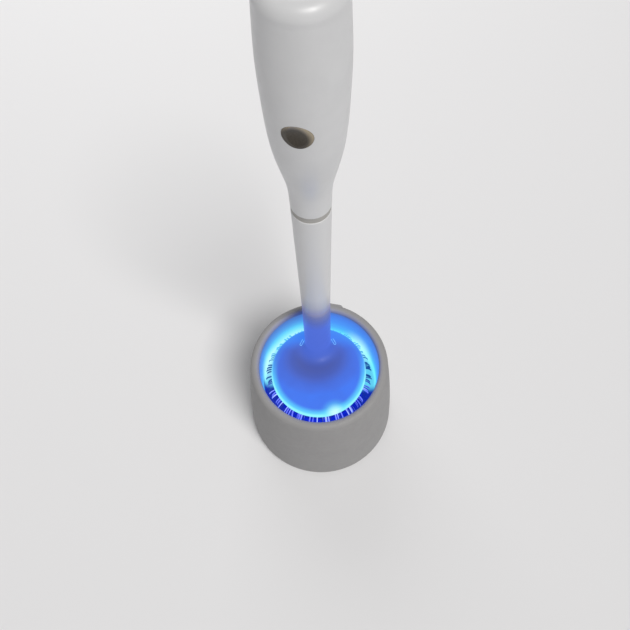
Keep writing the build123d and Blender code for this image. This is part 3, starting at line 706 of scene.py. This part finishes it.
def head_section(phi):
    """Closed section of the silicone skin in the plane at angle phi about the neck's axis.

    Points are (distance from the neck's axis, height): down the neck, round the root, over the face,
    round the edge, down the side, and back along the inside.
    """
    edge, crown, side_low = 2.2 * MM, 0.35 * MM, CORE_LOW.z - 0.1 * MM

    def reach(radius):
        """Distance from the neck's axis to a circle about the head's axis."""
        across = math.sqrt(max(radius ** 2 - (NECK_BACK * math.cos(phi)) ** 2, 0.0))
        return -NECK_BACK * math.sin(phi) + across

    def face_height(s):
        x, y = s * math.cos(phi), NECK_BACK + s * math.sin(phi)
        return HEAD_TOP - crown * min((x * x + y * y) / (HEAD_R - edge) ** 2, 1.0)

    flat_end = reach(HEAD_R - edge)
    forward = (1 - math.sin(phi)) / 2
    root = min(6.5 * MM * forward ** 1.5 + 0.15 * MM, (flat_end - SLEEVE_R) * 0.85)
    lip = 0.06 * MM
    points = [(SLEEVE_R - lip - 0.4 * MM, SLEEVE_TOP)]
    points += arc((SLEEVE_R - lip, SLEEVE_TOP - lip), lip, 90, 0, 4)
    foot_z = face_height(SLEEVE_R + root) + root
    points += [(SLEEVE_R, SLEEVE_TOP + (foot_z - SLEEVE_TOP) * i / 10) for i in range(1, 10)]
    points += arc((SLEEVE_R + root, foot_z), root, 180, 270, 10)
    start = SLEEVE_R + root
    points += [(s, face_height(s)) for s in (start + (flat_end - start) * i / 16 for i in range(1, 16))]
    top = HEAD_TOP - crown
    for r, z in arc((HEAD_R - edge, top - edge), edge, 90, 0, 8):
        points.append((reach(r), z))
    points.append((reach(HEAD_R), (top - edge + side_low) / 2))
    points.append((reach(HEAD_R - 0.05 * MM), side_low + 0.15 * MM))
    points.append((reach(HEAD_R - 0.2 * MM), side_low))
    inner_r, roof = CORE_R + 0.02 * MM, CORE_HIGH.z + 0.02 * MM
    points.append((reach(inner_r + 0.15 * MM), side_low))
    points.append((reach(inner_r), side_low + 0.15 * MM))
    points.append((reach(inner_r), roof))
    bore = SLEEVE_R - 1.08 * MM
    points.append((bore + (reach(inner_r) - bore) * 0.5, roof))
    points.append((bore, roof + 0.2 * MM))
    points.append((bore, SLEEVE_TOP - 0.2 * MM))
    return points


def make_head_skin(material):
    """Silicone skin swept round the neck's axis, so that the neck flows into the head's face."""
    steps = 180
    verts, faces = [], []
    for i in range(steps):
        phi = TURN * i / steps
        section = head_section(phi)
        verts += [(NECK_AT.x + s * math.cos(phi), NECK_AT.y + s * math.sin(phi), z) for s, z in section]
    count = len(verts) // steps
    for i in range(steps):
        a, b = i * count, (i + 1) % steps * count
        for j in range(count):
            k = (j + 1) % count
            faces.append((a + j, a + k, b + k, b + j))
    piece("head_skin_moulded", verts, faces, material, "brush_stem", "head_silicone", "head_skin")


def skin_height(x, y):
    """Height of the skin's outer face beside the neck, from the section at that angle."""
    away = Vector((x, y)) - NECK_AT
    reach = away.length
    section = head_section(math.atan2(away.y, away.x))
    for (s0, z0), (s1, z1) in zip(section, section[1:]):
        if s0 <= reach < s1 and z1 <= z0:
            return z0 + (z1 - z0) * (reach - s0) / (s1 - s0)
    return HEAD_TOP


def tube_faces(faces, first, rings, sides):
    """Adds the sides and both ends of a closed tube whose rings of vertices start at first."""
    for ring in range(rings - 1):
        a, b = first + ring * sides, first + (ring + 1) * sides
        for k in range(sides):
            n = (k + 1) % sides
            faces.append((a + k, a + n, b + n, b + k))
    last = first + (rings - 1) * sides
    faces.append(tuple(first + k for k in range(sides))[::-1])
    faces.append(tuple(last + k for k in range(sides)))


def hairpin(tip, along, length, half_width):
    """Line down one leg, round the bend at the tip, and up the other leg."""
    legs, bend = 5, 8
    across = Vector((-along.y, along.x))
    line = [tip + along * (length - i * length / legs) + across * half_width for i in range(legs + 1)]
    for i in range(1, bend):
        turn = math.pi * i / bend
        line.append(tip + across * half_width * math.cos(turn) - along * half_width * math.sin(turn))
    line += [tip + along * (i * length / legs) - across * half_width for i in range(legs + 1)]
    return line


def make_root_beads(material):
    """Small hairpin-shaped moulding beads on both sides of the neck's root, which carry a painted glint."""
    radius, sides = 0.20 * MM, 8
    verts, faces = [], []
    for side in (-1, 1):
        tip = Vector((NECK_AT.x + side * 9.7 * MM, NECK_AT.y - 0.7 * MM))
        line = hairpin(tip, Vector((-side * 0.45, 0.89)), length=3.4 * MM, half_width=0.62 * MM)
        first = len(verts)
        for i, at in enumerate(line):
            ahead = (line[min(i + 1, len(line) - 1)] - line[max(i - 1, 0)]).normalized()
            beside = Vector((-ahead.y, ahead.x, 0))
            centre = Vector((at.x, at.y, skin_height(at.x, at.y) + 0.03 * MM))
            thin = 0.45 if i in (0, len(line) - 1) else 1.0
            for k in range(sides):
                angle = TURN * k / sides
                offset = beside * math.cos(angle) + Vector((0, 0, math.sin(angle)))
                verts.append(centre + offset * radius * thin)
        tube_faces(faces, first, len(line), sides)
    piece("root_beads", verts, faces, material, "brush_stem", "head_silicone", "head_skin")


def strand(verts, faces, path, radii, sides=5):
    """Adds one closed tapered filament along a path."""
    first = len(verts)
    ahead = (path[-1] - path[0]).normalized()
    side = ahead.orthogonal().normalized()
    other = ahead.cross(side)
    for at, radius in zip(path, radii):
        for k in range(sides):
            angle = TURN * k / sides
            verts.append(at + side * radius * math.cos(angle) + other * radius * math.sin(angle))
    tube_faces(faces, first, len(path), sides)


def make_skirt(material, rng):
    """Splayed tufts round the plate: flat fans of filaments that curve outward and down."""
    root_r, root_z = PLATE_R - 0.5 * MM, PLATE_HIGH.z - 0.15 * MM
    tip_r, tip_z = HEAD_R + 3.6 * MM, SKIRT_END + 0.6 * MM
    verts, faces = [], []
    for i in range(SKIRT_TUFTS):
        middle = TURN * (i + 0.5) / SKIRT_TUFTS
        filaments = rng.choice((3, 4, 4, 5))
        for j in range(filaments):
            across = 2 * j / (filaments - 1) - 1
            root_turn = middle + (across * 1.8 + rng.uniform(-0.30, 0.30)) * MM / root_r
            tip_turn = middle + (across * 2.3 + rng.uniform(-0.55, 0.55)) * MM / tip_r
            out, down = rng.uniform(-1.3, 0.1) * MM, rng.uniform(-0.3, 1.8) * MM
            path = []
            for step in range(7):
                t = step / 6
                angle = root_turn + (tip_turn - root_turn) * t
                r = root_r + (tip_r + out - root_r) * math.sin(t * math.pi / 2)
                z = root_z + (tip_z + down - root_z) * t ** 1.7
                path.append(round_head(r, angle, z))
            thick = rng.uniform(0.30, 0.48) * MM
            strand(verts, faces, path, [thick] * 4 + [thick * 0.95, thick * 0.85, thick * 0.4])
    piece("skirt_bristles", verts, faces, material, "bristle_head", "bristle_violet", "skirt_tufts")


def make_upright_ring(name, node, radius, tufts, material, rng):
    """Ring of round tufts, each a bundle of straight filaments that spread a little to their tips."""
    top, low = PLATE_LOW.z + 0.25 * MM, TUFT_END
    verts, faces = [], []
    for i in range(tufts):
        centre = round_head(radius, TURN * i / tufts, 0)
        for j in range(TUFT_STRANDS):
            turn, out = j * GOLDEN_TURN, TUFT_R * math.sqrt((j + 0.5) / TUFT_STRANDS)
            offset = Vector((out * math.cos(turn), out * math.sin(turn), 0))
            spread = rng.uniform(1.0, 1.22)
            end = low + rng.uniform(0.0, 0.7) * MM
            path = [centre + offset + Vector((0, 0, top)),
                    centre + offset * spread * 0.98 + Vector((0, 0, low + 2 * MM)),
                    centre + offset * spread + Vector((0, 0, end))]
            strand(verts, faces, path, [0.13 * MM, 0.13 * MM, 0.06 * MM])
    piece(name, verts, faces, material, "bristle_head", "bristle_violet", node)


# --- making ----------------------------------------------------------------------------------------------
make_camera()
make_floor()
make_light()
MATERIALS = finishes()
dress(MATERIALS)
RANDOM = random.Random(11)
make_head_skin(MATERIALS["head_silicone"])
make_root_beads(bead_painted_glint())
make_skirt(MATERIALS["bristle_violet"], RANDOM)
for name, node, ring_r, tufts in UPRIGHT_RINGS:
    make_upright_ring(name, node, ring_r, tufts, MATERIALS["bristle_violet"], RANDOM)
